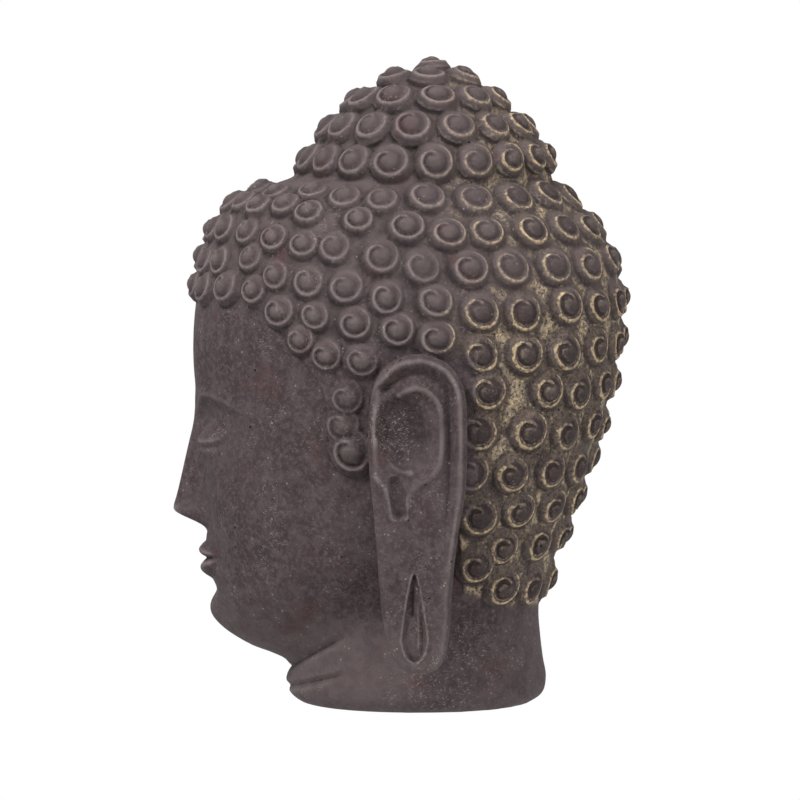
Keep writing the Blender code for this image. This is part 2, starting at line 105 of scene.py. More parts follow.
# Sizes of the stone's markings and of its finest relief, in metres.
BLOTCH_SIZE = 0.060
MOTTLE_SIZE = 0.009
GRAIN_SIZE = 0.0016
DIRT_SIZE = 0.0030
RUSSET_SIZE = 0.034
PIT_SIZE = 0.0026
PATCH_SIZE = 0.020
CRUMB_SIZE = 0.0022
FLECK_SIZE = 0.0030
CRACK_SIZE = 0.0016
SCUFF_SIZE = 0.022
SPECK_SPACING = 0.0042
HOLE_SPACING = 0.011
HOLE_PATCH_SIZE = 0.018
RELIEF_HEIGHT = 0.0006

# Three sets of scratches: the size of their cells in metres, how stretched they are, and their turn.
SCRATCHES = (
    (0.0062, 8.0, (0.5, 0.3, 0.2)),
    (0.0054, 7.0, (-1.1, 0.2, -0.3)),
    (0.0045, 9.0, (1.5, 0.1, 0.1)),
)

# Camera: turned past square-on, a little above level, far off with a long lens.
AIM = (0.0, -0.0104, 0.1872)
CAMERA_AZIMUTH = 91.4
CAMERA_ELEVATION = 3.2
CAMERA_DISTANCE = 2.1
CAMERA_LENS = 151.0

# Studio: how far off the card stands, its half width and height, the table's level under the
# stone, the brightness of card and surround, and three soft lights.
CARD_AWAY = 3.0
CARD_REACH = 3.0
TABLE_LEVEL = -0.0005
CARD_GLOW = 1.0
WORLD_STRENGTH = 0.5
KEY_PLACE = (1.5, -1.2, 2.0)
KEY_SIZE = 0.8
KEY_POWER = 85.0
TOP_PLACE = (0.3, 0.3, 2.4)
TOP_SIZE = 1.2
TOP_POWER = 16.0
FILL_PLACE = (1.5, 1.9, 0.7)
FILL_SIZE = 1.5
FILL_POWER = 30.0

# Sections from under the foot to the crown, in parts. Each row is a tilted ring:
# front depth and height, half width and its height, back depth and its height.
SECTIONS = (
    (0.0, -4.0, 0.0, -4.0, 0.0, -4.0),
    (50.0, -4.0, 46.0, -4.0, 50.0, -4.0),
    (67.0, -2.5, 59.5, -2.5, 66.5, -2.5),
    (75.0, 0.8, 67.0, 0.8, 74.2, 0.8),
    (80.3, 5.8, 72.4, 5.8, 79.8, 5.8),
    (82.0, 11.0, 74.3, 13.0, 81.2, 15.0),
    (81.4, 15.0, 73.6, 26.0, 79.3, 26.0),
    (80.8, 20.5, 72.6, 43.0, 77.5, 41.0),
    (82.5, 25.0, 73.0, 57.0, 76.5, 55.0),
    (91.0, 29.0, 76.0, 68.0, 77.5, 68.0),
    (104.0, 34.0, 80.5, 78.0, 81.0, 80.0),
    (115.0, 41.5, 85.0, 88.0, 85.5, 93.0),
    (122.0, 51.5, 89.0, 99.0, 91.0, 108.0),
    (124.5, 64.0, 92.0, 111.0, 97.0, 124.0),
    (125.5, 80.0, 94.5, 125.0, 104.0, 142.0),
    (127.5, 99.0, 97.0, 140.0, 110.5, 163.0),
    (130.0, 121.0, 99.5, 157.0, 117.0, 187.0),
    (133.0, 145.0, 101.5, 175.0, 122.0, 212.0),
    (135.5, 169.0, 103.5, 194.0, 124.5, 234.0),
    (138.0, 193.0, 105.0, 214.0, 124.5, 254.0),
    (139.5, 217.0, 105.5, 235.0, 121.5, 271.0),
    (138.5, 241.0, 104.0, 255.0, 115.5, 285.5),
    (135.0, 263.0, 99.5, 274.0, 106.5, 298.0),
    (128.5, 285.0, 92.5, 291.0, 97.5, 308.5),
    (119.0, 304.0, 84.0, 305.0, 90.0, 316.5),
    (105.0, 315.5, 77.0, 313.5, 86.0, 321.5),
    (88.0, 322.5, 72.0, 319.5, 84.5, 325.0),
    (77.5, 326.5, 69.5, 323.5, 83.5, 328.5),
    (71.5, 332.0, 67.8, 328.5, 81.5, 334.5),
    (64.0, 342.5, 64.5, 340.0, 76.5, 344.5),
    (56.0, 354.0, 58.5, 353.0, 68.0, 355.0),
    (46.0, 365.0, 49.5, 365.0, 58.0, 366.0),
    (32.5, 376.5, 38.0, 377.0, 46.0, 377.5),
    (14.0, 387.0, 21.0, 387.5, 30.0, 388.0),
    (-9.0, 393.0, 0.0, 393.0, 9.0, 393.0),
)
SQUARENESS = 2.12

# How far a curl's lower side stands out beyond its middle, in parts, and how far that side is turned.
CURL_LEAN = 1.6
LEAN_TURN = 0.6

# The groove round the foot of the topknot, as rows of SECTIONS.
GROOVE_LOW = 26.2
GROOVE_HIGH = 27.2

# How far the curls in front of the groove are worn down, in parts.
WORN_DEPTH = 2.6

# The hairline seen from the side: places along Y, and the lowest hair there.
HAIRLINE_Y = (-142.0, -104.0, -88.0, -72.0, -54.0, -44.0, -36.0, 24.0, 30.0, 52.0, 84.0)
HAIRLINE_Z = (254.0, 253.0, 242.0, 226.0, 198.0, 165.0, 150.0, 150.0, 74.0, 65.0, 59.0)

# The ear's outline in side view, up the front edge and down the rear one.
EAR_OUTLINE = (
    (-20.5, 86.5),
    (-23.0, 120.0),
    (-26.0, 151.5),
    (-26.5, 181.0),
    (-22.5, 204.0),
    (-12.0, 216.5),
    (4.0, 220.5),
    (19.5, 215.5),
    (29.0, 203.5),
    (32.0, 185.0),
    (31.5, 142.0),
    (27.0, 114.0),
    (23.5, 82.5),
    (21.0, 48.0),
    (15.5, 33.5),
    (3.0, 29.0),
    (-9.0, 34.5),
    (-17.0, 55.0),
)
ANTIHELIX = (
    (-7.5, 196.0),
    (1.5, 200.5),
    (10.5, 197.0),
    (16.0, 188.0),
    (17.5, 173.5),
    (16.5, 157.5),
    (10.5, 147.5),
    (1.5, 142.0),
    (-2.5, 133.0),
    (-4.0, 124.0),
)
SCAPHA = (
    (-16.5, 200.0),
    (-7.5, 206.0),
    (4.5, 209.0),
    (16.5, 203.0),
    (21.5, 191.0),
    (21.5, 132.0),
    (18.5, 96.5),
)
TRAGUS = ((-21.0, 168.5), (-16.0, 159.5), (-9.0, 153.0), (-2.0, 151.0))
NOTCH = ((-10.5, 143.5), (-9.5, 136.0), (-8.0, 126.5))
NOTCH_FRONT = ((-24.5, 148.5), (-18.0, 143.0), (-14.5, 135.0), (-12.5, 124.0))
EAR_OUT_PARTS = 112.5
EAR_ROUND_PARTS = 5.0

# The ear's root: how much narrower than the ear, where its lower side starts to rise, and its inner end.
ROOT_SHARE = 0.80
ROOT_LOW = 120.0
ROOT_IN = 58.0
EAR_MIDDLE_Y = 3.0



def smoothstep(low, high, value):
    """0 below low, 1 above high, and a smooth ramp between them."""
    t = np.clip((value - low) / (high - low), 0.0, 1.0)
    return t * t * (3.0 - 2.0 * t)


def bell(value, width):
    """A smooth hump: 1 at zero, a third at one width, almost 0 at two."""
    return np.exp(-((value / width) ** 2))


def spline(points, at):
    """Catmull-Rom curve through the points, read at fractional indices."""
    points = np.asarray(points, float)
    last = len(points) - 1
    at = np.clip(np.asarray(at, float), 0.0, last)
    low = np.minimum(np.floor(at).astype(int), last - 1)
    t = (at - low)[..., None]
    before = points[np.maximum(low - 1, 0)]
    here = points[low]
    there = points[low + 1]
    after = points[np.minimum(low + 2, last)]
    lead = (there - before) / 2.0
    follow = (after - here) / 2.0
    return (
        here * (2 * t**3 - 3 * t**2 + 1)
        + lead * (t**3 - 2 * t**2 + t)
        + there * (3 * t**2 - 2 * t**3)
        + follow * (t**3 - t**2)
    )


def path_distance(y, z, route):
    """Distance of each place from a smooth line through the route."""
    line = spline(route, np.linspace(0.0, len(route) - 1.0, 6 * len(route)))
    start = line[:-1]
    run = line[1:] - start
    place = np.stack([y, z], axis=-1)[..., None, :] - start
    share = np.clip((place * run).sum(-1) / (run**2).sum(-1), 0.0, 1.0)
    return np.sqrt(((place - share[..., None] * run) ** 2).sum(-1).min(-1))


def bare_form(at, angle):
    """The form without hair, ears or features. Angle 0 is the front, +90 degrees is +X."""
    row = spline(SECTIONS, at)
    front, front_z, side, side_z, back, back_z = np.moveaxis(row, -1, 0)
    cosine = np.cos(angle)
    sine = np.sin(angle)
    power = 2.0 / SQUARENESS
    x = side * np.sign(sine) * np.abs(sine) ** power
    reach = np.sign(cosine) * np.abs(cosine) ** power
    y = (back - front) / 2.0 - (back + front) / 2.0 * reach
    z = np.where(cosine > 0, front_z, back_z) * cosine**2 + side_z * sine**2
    return np.stack([x, y, z], axis=-1)


def face_relief(x, z):
    """How far the features stand forward of the bare form, in parts."""
    a = np.abs(x)
    brow_z = np.where(a < 44, 192.5 - 0.0095 * (a - 44) ** 2, 192.5 - 0.011 * (a - 44) ** 2)
    brow = 2.2 * bell(z - brow_z, 3.2) * smoothstep(4, 14, a) * (1 - smoothstep(66, 86, a))
    socket = -9.0 * bell(a - 34, 22) * bell(z - 175, 12.5)
    eye_far = np.sqrt(((a - 37) / 21) ** 2 + ((z - 167) / 14.0) ** 2)
    eyeball = 8.6 * np.exp(-((eye_far / 0.86) ** 2.6))
    lid_z = 160.5 + 0.010 * (a - 38) ** 2
    in_eye = 1 - smoothstep(13, 22, np.abs(a - 38))
    lid = 1.0 * bell(z - lid_z - 2.8, 2.4) * in_eye - 2.2 * bell(z - lid_z, 1.8) * in_eye
    crease_z = 178.0 - 0.014 * (a - 37) ** 2
    crease = -1.5 * bell(z - crease_z, 2.0) * (1 - smoothstep(14, 25, np.abs(a - 37)))
    down = np.clip((184 - z) / 66, 0, 1)
    ridge = (2.5 + 20.5 * down**1.2) * smoothstep(106, 122, z) * (1 - smoothstep(180, 200, z))
    nose = ridge * np.exp(-((a / (8.5 + 5.0 * down**1.5)) ** 2.6))
    wing = 9.0 * np.exp(-((((a - 13.5) / 7.2) ** 2 + ((z - 118.5) / 8.0) ** 2) ** 1.4))
    nostril = -4.0 * bell(a - 7, 3.2) * bell(z - 110.0, 3.0)
    muzzle = 5.5 * bell(a, 33) * bell(z - 90, 21)
    philtrum = -1.7 * bell(a, 2.8) * smoothstep(97, 100, z) * (1 - smoothstep(105, 110, z))
    mouth_z = 88.5 + 0.0030 * a**2 - 0.9 * bell(a, 6)
    upper_z = 99.5 - 1.8 * bell(a, 4.5) - 0.0075 * a**2
    lower_z = 75.0 + 0.0140 * a**2
    spread = 1 - smoothstep(18, 34, a)
    above = np.clip((z - mouth_z) / np.maximum(upper_z - mouth_z, 1.0), 0, 1)
    below = np.clip((mouth_z - z) / np.maximum(mouth_z - lower_z, 1.0), 0, 1)
    upper_lip = 4.4 * np.sin(math.pi * above) * spread
    lower_lip = 5.2 * np.sin(math.pi * below) * spread
    parting = -1.4 * bell(z - mouth_z, 1.8) * (1 - smoothstep(25, 34, a))
    corner = -2.2 * bell(a - 33, 5.5) * bell(z - 91, 5.5)
    fold = -3.4 * bell(a, 21) * bell(z - 69.5, 6.0)
    chin = 6.0 * bell(a, 19) * bell(z - 54, 13)
    cheek = 4.0 * bell(a - 54, 26) * bell(z - 128, 28)
    features = brow + socket + eyeball + lid + crease + nose + wing + nostril
    mouth = muzzle + philtrum + upper_lip + lower_lip + parting + corner + fold + chin
    return features + mouth + cheek


def neck_lines(z, angle):
    """The two folds of the throat, as depths cut into the neck."""
    side = np.abs(np.sin(angle / 2.0))
    upper = 19.5 + 79.0 * side**1.6
    lower = 8.5 + 44.0 * side**1.6
    reach = 1 - smoothstep(0.42, 0.56, side)
    return -(2.8 * bell(z - upper, 2.4) + 2.4 * bell(z - lower, 2.2)) * reach


def head_points(at, angle):
    """The form with its face, throat folds and the bed of the hair, before curls and ears."""
    points = bare_form(at, angle)
    x, y, z = np.moveaxis(points, -1, 0)
    facing = 1 - smoothstep(0.72, 0.95, np.abs(x) / 105)
    forward = np.where(np.cos(angle) > 0, facing, 0.0)
    points[..., 1] -= face_relief(x, z) * forward * smoothstep(30, 44, z) * (1 - smoothstep(225, 250, z))
    outward = neck_lines(z, angle) * (1 - smoothstep(44, 60, z)) + hair_bed(y, z)
    points[..., 0] += outward * np.sin(angle)
    points[..., 1] -= outward * np.cos(angle)
    return points


def hair_bed(y, z):
    """How far the hair's own surface stands out under the curls, in parts."""
    over = z - np.interp(y, HAIRLINE_Y, HAIRLINE_Z)
    return HAIR_BED / PART * smoothstep(-1.0, 4.0, over) * (1 - smoothstep(300, 320, z))


def form_normal(at, angle):
    """Outward unit normal of the bare form."""
    step = 1e-3
    along = bare_form(at + step, angle) - bare_form(at - step, angle)
    around = bare_form(at, angle + step) - bare_form(at, angle - step)
    normal = np.cross(around, along)
    return normal / np.linalg.norm(normal, axis=-1, keepdims=True)


def ear_signed(y, z):
    """Distance inside the ear's outline, negative outside it."""
    closed = EAR_OUTLINE + EAR_OUTLINE[:1]
    line = spline(closed, np.linspace(0.0, len(closed) - 1.0, 6 * len(closed)))
    away = path_distance(y, z, closed)
    inside = np.zeros(np.shape(y), bool)
    for (y0, z0), (y1, z1) in zip(line[:-1], line[1:]):
        crosses = (z0 > z) != (z1 > z)
        rise = z1 - z0 if z1 != z0 else 1.0
        inside ^= crosses & (y < (y1 - y0) * (z - z0) / rise + y0)
    return np.where(inside, away, -away)


def hair_weight(at, places):
    """How densely curls sit at a place of the skull: 0 off the hair."""
    y, z = places[..., 1], places[..., 2]
    hair = (z > np.interp(y, HAIRLINE_Y, HAIRLINE_Z)) & (at > 8) & (at < GROOVE_LOW - 0.4)
    ear = ear_signed(y, z)
    clear = np.where((y > 8) & (z < 200), ear < 9, ear < -3)
    pitch = local_pitch(y)
    return np.where(hair & clear, (CURL_PITCH / PART / pitch) ** 4, 0.0)


def local_pitch(y):
    """Spacing of the curls, in parts: closer towards the forehead."""
    ahead = 1 - smoothstep(-110, 60, y)
    return (CURL_PITCH + (FRONT_PITCH - CURL_PITCH) * ahead) / PART


def nearest(places, others):
    """For each place, which of the others is nearest."""
    squares = (others**2).sum(1) - 2 * places @ others.T
    return squares.argmin(1)


def scalp_rings():
    """Starting rows and angles of the skull's curls: rings below the groove, each half a step on."""
    rows = np.linspace(GROOVE_LOW, 8.0, 300)
    round_it = np.linspace(0, 2 * math.pi, 361)
    at, angle = np.meshgrid(rows, round_it, indexing="ij")
    places = bare_form(at, angle)
    spacing = ROW_SHARE * local_pitch(places[:-1, :, 1])
    down = np.linalg.norm(np.diff(places, axis=0), axis=-1) / spacing
    down = np.concatenate([np.zeros((1, len(round_it))), np.cumsum(down, axis=0)])
    found = []
    ring = 0
    while (down[-1] > ring + 0.5).any():
        row = np.array([np.interp(ring + 0.5, down[:, k], rows) for k in range(len(round_it))])
        line = bare_form(row, round_it)
        pitch = local_pitch((line[:-1, 1] + line[1:, 1]) / 2.0)
        along = np.linalg.norm(np.diff(line, axis=0), axis=1) / pitch
        along = np.concatenate([[0.0], np.cumsum(along)])
        count = int(round(along[-1]))
        steps = (np.arange(count) + 0.5 * (ring % 2)) * along[-1] / count
        turned = np.interp(steps, along, round_it)
        found.append(np.stack([np.interp(turned, round_it, row), turned], axis=1))
        ring += 1
    return np.concatenate(found).T


def scalp_curls():
    """Rows and angles of the skull's curls, evened out over the hair."""
    random = np.random.default_rng(7)
    rows = np.linspace(8, GROOVE_LOW, 260)
    round_it = np.linspace(0, 2 * math.pi, 480, endpoint=False)
    at, angle = [grid.ravel() for grid in np.meshgrid(rows, round_it)]
    step = 1e-3
    along = (bare_form(at + step, angle) - bare_form(at - step, angle)) / (2 * step)
    around = (bare_form(at, angle + step) - bare_form(at, angle - step)) / (2 * step)
    places = bare_form(at, angle)
    weight = hair_weight(at, places)
    area = np.linalg.norm(np.cross(around, along), axis=-1) * (weight > 0)
    picked = random.choice(len(at), SAMPLES, p=area / area.sum())
    at = at[picked]
    angle = angle[picked]
    weight = weight[picked]
    places = places[picked].astype(np.float32)
    ring_at, ring_angle = scalp_rings()
    rings = bare_form(ring_at, ring_angle)
    rings = rings[hair_weight(ring_at, rings) > 0].astype(np.float32)
    seeds = nearest(rings, places)
    count = len(seeds)
    for _ in range(EVENING_ROUNDS):
        owner = nearest(places, places[seeds])
        total = np.maximum(np.bincount(owner, weight, count), 1e-9)
        sums = [np.bincount(owner, weight * places[:, k], count) for k in range(3)]
        centre = (np.stack(sums) / total).T.astype(np.float32)
        seeds = nearest(centre, places)
    return at[seeds], angle[seeds]


def topknot_curls():
    """Rows and angles of the curls that ring the topknot, with one on its top."""
    rows = np.linspace(len(SECTIONS) - 1.0, GROOVE_HIGH, 400)
    edge = bare_form(rows, np.full(rows.shape, math.pi / 2))
    length = np.concatenate([[0.0], np.cumsum(np.linalg.norm(np.diff(edge, axis=0), axis=1))])
    pitch = TOPKNOT_PITCH / PART
    rings = int(length[-1] / pitch)
    at = [len(SECTIONS) - 1.0]
    angle = [0.0]
    for ring in range(1, rings + 1):
        row = np.interp(ring * length[-1] / (rings + 0.45), length, rows)
        round_it = bare_form(np.full(200, row), np.linspace(0, 2 * math.pi, 200))
        perimeter = np.linalg.norm(np.diff(round_it, axis=0), axis=1).sum()
        count = int(round(perimeter / pitch))
        for step in range(count):
            at.append(row)
            angle.append(2 * math.pi * (step + 0.5 * (ring % 2)) / count)
    return np.array(at), np.array(angle)


def curl_places():
    """Every curl as centre, outward normal and radius, in parts."""
    scalp_at, scalp_angle = scalp_curls()
    knot_at, knot_angle = topknot_curls()
    at = np.concatenate([scalp_at, knot_at])
    angle = np.concatenate([scalp_angle, knot_angle])
    centre = bare_form(at, angle)
    normal = form_normal(np.minimum(at, len(SECTIONS) - 1.01), angle)
    normal[at == len(SECTIONS) - 1.0] = (0.0, 0.0, 1.0)
    apart = np.linalg.norm(centre[:, None] - centre[None], axis=-1)
    np.fill_diagonal(apart, np.inf)
    near = np.sort(apart, axis=1)[:, :3].mean(axis=1)
    radius = np.clip(0.53 * near, 0.46 * FRONT_PITCH / PART, 0.55 * CURL_PITCH / PART)
    worn = smoothstep(24.0, 25.6, at) * (at < GROOVE_LOW) * (1 - smoothstep(-50, 40, centre[:, 1]))
    centre = centre - WORN_DEPTH * worn[:, None] * normal
    return centre, normal, radius


def head_grid():
    """The head and neck without hair or ears."""
    rows = np.linspace(0, len(SECTIONS) - 1.0, RINGS)
    round_it = np.linspace(0, 2 * math.pi, SPOKES, endpoint=False)
    at, angle = np.meshgrid(rows, round_it, indexing="ij")
    return head_points(at, angle)


def ear_relief(y, z):
    """Height of the ear's carving over its plate, in parts."""
    inside = np.maximum(ear_signed(y, z), 0.0)
    upper = smoothstep(134, 162, z)
    helix = 1.8 * bell(inside - 3.8, 3.4) * upper
    rear = 1.8 * smoothstep(6, 20, y) * (1 - smoothstep(6.5, 11.0, inside)) * (1 - 0.7 * upper)
    scapha = -3.2 * bell(path_distance(y, z, SCAPHA), 3.2) * smoothstep(86, 126, z)
    recess = -3.4 * bell(y + 17.0, 9.0) * bell(z - 197.5, 10.0)
    band_height = 1.2 + 0.8 * smoothstep(136, 162, z)
    band = band_height * (1 - smoothstep(0.6, 3.8, path_distance(y, z, ANTIHELIX)))
    bowl = np.sqrt(((y + 6.0) / 18.0) ** 2 + ((z - 173.5) / 26.5) ** 2)
    concha = -8.0 * (1 - smoothstep(0.45, 1.05, bowl))
    notch = -3.0 * (1 - smoothstep(1.8, 5.6, path_distance(y, z, NOTCH)))
    tragus = 2.6 * bell(path_distance(y, z, TRAGUS), 3.0)
    front = 1.2 * bell(path_distance(y, z, NOTCH_FRONT), 2.4)
    return helix + rear + scapha + recess + band + concha + notch + tragus + front + lobe_slit(y, z)


def lobe_slit(y, z):
    """The long drop in the lobe: a thin raised outline, a shallow hollow and a slit."""
    above = np.clip((90.5 - z) / 39.5, 0, 1) ** 0.60
    below = np.sqrt(np.clip(1 - ((51.0 - z) / 14.5) ** 2, 0, 1))
    width = 8.0 * np.where(z > 51.0, above, below)
    off = np.abs(y - 0.9)
    near = smoothstep(35, 38, z) * (1 - smoothstep(88.5, 91.5, z))
    outline = 1.1 * bell(off - width, 0.9) * near
    hollow = -2.2 * (1 - smoothstep(0.6, 1.0, off / np.maximum(width, 0.5))) * near
    slit = -3.2 * bell(y + 0.3, 1.0) * smoothstep(61, 66, z) * (1 - smoothstep(78, 83, z))
    fold = 1.4 * bell(y - 3.3, 1.0) * smoothstep(41, 47, z) * (1 - smoothstep(76, 82, z))
    return outline + hollow + slit + fold


def ear_grid():
    """The left ear: a rounded, carved plate on a root that narrows into the head."""
    closed = EAR_OUTLINE + EAR_OUTLINE[:1]
    line = spline(closed, np.linspace(0.0, len(closed) - 1.0, EAR_COLUMNS + 1))[:-1]
    core = np.stack([np.full(len(line), EAR_MIDDLE_Y), np.clip(line[:, 1], 48.0, 192.0)], axis=-1)
    share = np.sin(np.linspace(0, math.pi / 2, EAR_ROWS))[:, None, None]
    flat = core + (line - core) * share
    y, z = np.moveaxis(flat, -1, 0)
    inside = np.clip(ear_signed(y, z), 0.0, None)
    inside[-1] = 0.0
    droop = np.clip((192.0 - z) / 165.0, 0.0, 1.0)
    plate = EAR_OUT_PARTS - 8.0 * droop**1.5 + 0.10 * y
    edge = EAR_ROUND_PARTS * np.sqrt(1 - (1 - np.clip(inside / EAR_ROUND_PARTS, 0, 1)) ** 2)
    top = plate + edge + ear_relief(y, z) * smoothstep(0.0, 3.0, inside)
    front = np.stack([top, y, z], axis=-1)
    lip = np.stack([plate[-1] - 5.0, y[-1], z[-1]], axis=-1)
    root = core + (line - core) * ROOT_SHARE
    low = root[:, 1] < ROOT_LOW
    inner_y = EAR_MIDDLE_Y + (root[:, 0] - EAR_MIDDLE_Y) * np.where(low, 0.7, 1.0)
    inner_z = np.where(low, ROOT_LOW - (ROOT_LOW - root[:, 1]) * 0.30, root[:, 1])
    inner = np.stack([np.full(len(line), ROOT_IN), inner_y, inner_z], axis=-1)
    outer = np.stack([plate[-1] - 8.0, root[:, 0], root[:, 1]], axis=-1)
    sides = [outer + (inner - outer) * (depth, depth, depth**0.6) for depth in np.linspace(0.0, 1.0, 9)]
    end = np.stack([np.full(len(line), ROOT_IN), core[:, 0], np.maximum(core[:, 1], 90.0)], axis=-1)
    return np.concatenate([front, np.stack([lip, *sides, end])])


def mirrored(grid):
    """The same grid on the other side of the head, still facing out."""
    return (grid * (-1.0, 1.0, 1.0))[:, ::-1]


def joined(grids, name):
    """One object of all the grids, each a closed skin whose rows wrap round."""
    quads = []
    start = 0
    for grid in grids:
        rows, columns = grid.shape[:2]
        index = start + np.arange(rows * columns).reshape(rows, columns)
        beside = np.roll(index, -1, axis=1)
        quads.append(np.stack([index[:-1], beside[:-1], beside[1:], index[1:]], axis=-1).reshape(-1, 4))
        start += rows * columns
    points = np.concatenate([grid.reshape(-1, 3) for grid in grids]) * PART
    mesh = bpy.data.meshes.new(name)
    mesh.from_pydata(points.tolist(), [], np.concatenate(quads).tolist())
    return bpy.data.objects.new(name, mesh)


def fused(obj):
    """Turns the overlapping shapes into one closed skin of small squares."""
    remesh = obj.modifiers.new("Fuse", "REMESH")
    remesh.mode = "VOXEL"
    remesh.voxel_size = CUT_SIZE
    bpy.context.view_layer.update()
    graph = bpy.context.evaluated_depsgraph_get()
    skin = bpy.data.meshes.new_from_object(obj.evaluated_get(graph))
    obj.modifiers.clear()
    obj.data = skin


def thinned(obj, triangles):
    """Leaves about this many triangles, fewest where the skin is flattest."""
    thin = obj.modifiers.new("Thin", "DECIMATE")
    thin.ratio = triangles / (2.0 * len(obj.data.polygons))
    thin.use_collapse_triangulate = True
    graph = bpy.context.evaluated_depsgraph_get()
    obj.data = bpy.data.meshes.new_from_object(obj.evaluated_get(graph))
    obj.modifiers.clear()


def cut_foot(mesh):
    """Saws the foot off flat at Z = 0 and closes it with one face."""
    whole = bmesh.new()
    whole.from_mesh(mesh)
    for vert in whole.verts:
        if abs(vert.co.z) < 0.6 * PART:
            vert.co.z = 0.0
    everything = whole.verts[:] + whole.edges[:] + whole.faces[:]
    bmesh.ops.bisect_plane(
        whole, geom=everything, dist=1e-6, plane_co=(0, 0, 0), plane_no=(0, 0, 1), clear_inner=True
    )
    rim = [edge for edge in whole.edges if edge.is_boundary]
    bmesh.ops.edgeloop_fill(whole, edges=rim)
    bmesh.ops.recalc_face_normals(whole, faces=whole.faces)
    whole.to_mesh(mesh)
    whole.free()


def curl_height(out, turn, depth):
    """Height of a carved curl over its base, in parts, for shares of its radius and angles."""
    shape = 0.92 * CURL_RISE / PART * (1 - out**2.3) ** 0.80
    button = 2.4 * np.clip(1 - (out / 0.50) ** 2, 0, 1)
    ridge = np.zeros(np.broadcast(out, turn).shape)
    groove = np.zeros(ridge.shape)
    for lap in (0.0, 2 * math.pi):
        swept = np.mod(turn - SPIRAL_START, 2 * math.pi) + lap
        reach = 0.34 + 0.32 * smoothstep(0, 1.9, swept) + 0.016 * swept
        fade = smoothstep(0.0, 0.6, swept) * (1 - smoothstep(5.4, 7.2, swept))
        ridge = np.maximum(ridge, 1.5 * bell(out - reach, SPIRAL_WIDTH) * fade)
        strength = smoothstep(0.2, 1.0, swept) * (1 - smoothstep(3.4, 5.4, swept))
        groove = np.maximum(groove, 1.4 * bell(out - reach + 0.165, 0.078) * strength)
    return shape + depth * (button + ridge - groove)


def curl_grid(centre, normal, radius, random):
    """One curl with its spiral, turned, worn and shaped a little differently from the next."""
    out = np.linspace(0, 1, CURL_ROWS)[:, None]
    round_it = np.linspace(0, 2 * math.pi, CURL_SPOKES, endpoint=False)[None, :]
    up = np.array([0.0, 0.0, 1.0]) if abs(normal[2]) < 0.97 else np.array([0.0, -1.0, 0.0])
    across = np.cross(up, normal)
    across /= np.linalg.norm(across)
    up = np.cross(normal, across)
    turned = round_it + random.uniform(-0.3, 0.3)
    oval = 1.0 + random.uniform(-0.06, 0.06) * np.cos(2 * round_it + random.uniform(0, 6.0))
    lean_across, lean_up = random.uniform(-0.5, 0.5, 2)
    rise = curl_height(out, turned, random.uniform(0.55, 1.1))
    rise = rise - CURL_LEAN * out**2 * np.sin(round_it + LEAN_TURN)
    rise = rise + out * (lean_across * np.cos(round_it) + lean_up * np.sin(round_it))
    floor = np.full((1, CURL_SPOKES), -4.0)
    depth = np.concatenate([rise, floor, floor - 1.0])
    spread = np.concatenate([radius * out * oval, radius * oval, 0 * oval])
    points = (
        centre
        + (spread * np.cos(round_it))[..., None] * across
        + (spread * np.sin(round_it))[..., None] * up
        + depth[..., None] * normal
    )
    return points[::-1]


def mesh_points(mesh):
    """The mesh's points as rows."""
    points = np.empty(len(mesh.vertices) * 3, np.float32)
    mesh.vertices.foreach_get("co", points)
    return points.reshape(-1, 3)


def mesh_normals(mesh):
    """The mesh's point normals as rows."""
    normals = np.empty(len(mesh.vertices) * 3, np.float32)
    mesh.vertex_normals.foreach_get("vector", normals)
    return normals.reshape(-1, 3)


def mesh_edges(mesh):
    """The mesh's edges as pairs of point numbers."""
    edges = np.empty(len(mesh.edges) * 2, np.int32)
    mesh.edges.foreach_get("vertices", edges)
    return edges.reshape(-1, 2)


def smoothed(values, edges, rounds):
    """Values averaged with their neighbours again and again."""
    values = np.array(values, float)
    start = np.concatenate([edges[:, 0], edges[:, 1]])
    end = np.concatenate([edges[:, 1], edges[:, 0]])
    count = len(values)
    shared = np.maximum(np.bincount(start, minlength=count), 1)
    for _ in range(rounds):
        if values.ndim == 1:
            around = np.bincount(start, values[end], count) / shared
        else:
            sums = [np.bincount(start, values[end, k], count) for k in range(values.shape[1])]
            around = (np.stack(sums) / shared).T
        values = 0.4 * values + 0.6 * around
    return values


